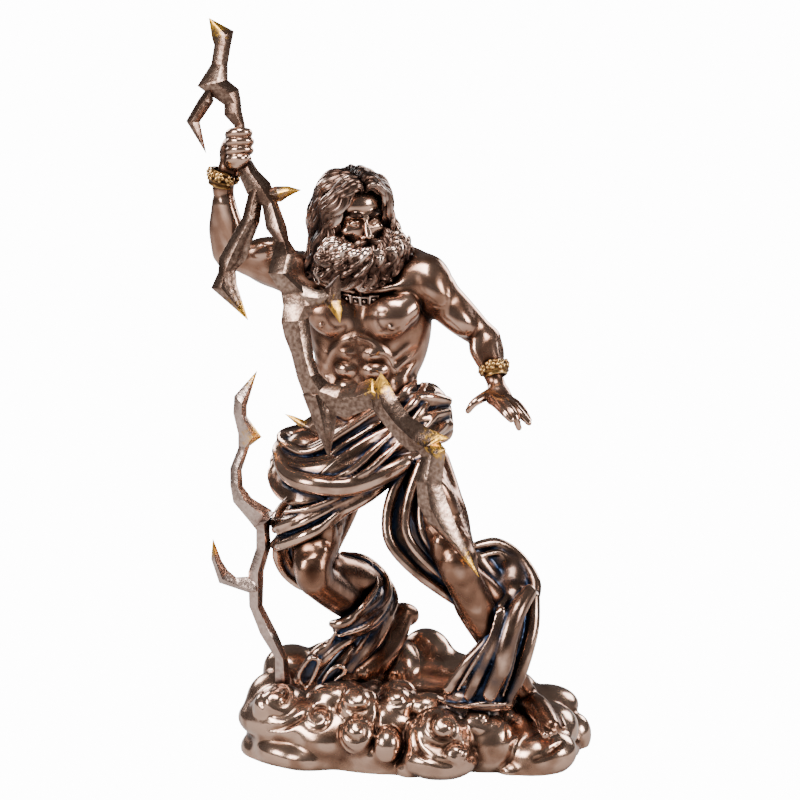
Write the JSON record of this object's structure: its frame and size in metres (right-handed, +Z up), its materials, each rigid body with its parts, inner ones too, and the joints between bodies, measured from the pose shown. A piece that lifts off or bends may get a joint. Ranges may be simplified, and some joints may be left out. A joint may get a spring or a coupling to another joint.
{
  "type": "zeus statue",
  "caption": "Cast statuette of a bearded sky god in swirling cloth who strides over clouds and raises a long jagged thunderbolt, with a second bolt rising from the base.",
  "frame": {"origin": "on the flat underside of the cloud base, below the middle of the base", "axes": "+Z up; the statue faces -Y and its lowered left arm points to +X"},
  "size_m": [0.1636, 0.0985, 0.2938],
  "materials": {
    "bronze": "gloss",
    "cloud_bronze": "gloss",
    "pewter": "satin"
  },
  "bodies": {
    "root": {"figure": "bronze", "cloud_base": "cloud_bronze", "held_thunderbolt": "pewter", "rising_thunderbolt": "pewter"}
  },
  "joints": []
}
